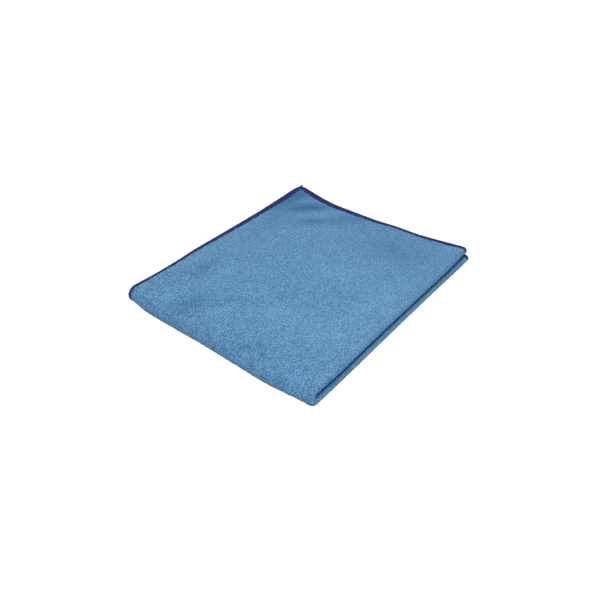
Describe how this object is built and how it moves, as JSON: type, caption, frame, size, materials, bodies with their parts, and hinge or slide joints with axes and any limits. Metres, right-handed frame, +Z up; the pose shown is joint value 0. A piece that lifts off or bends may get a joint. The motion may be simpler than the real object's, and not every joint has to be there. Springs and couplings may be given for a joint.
{
  "type": "folded microfibre cleaning cloth",
  "caption": "Terry microfibre cleaning cloth with a dark overlocked edge, folded in half lengthways and across and lying flat.",
  "frame": {"origin": "on the surface the cloth lies on, under the middle of its outline", "axes": "+Z up; +X runs from the open left edge to the side with the stacked first folds; +Y runs from the rounded second fold at the front to the open edges at the back"},
  "size_m": [0.171, 0.2082, 0.0156],
  "materials": {
    "terry": "mid blue looped microfibre pile, matt with a soft sheen",
    "thread": "navy overlock thread, slightly glossy"
  },
  "bodies": {
    "root": {"cloth": "terry", "edging": "thread"}
  },
  "joints": []
}
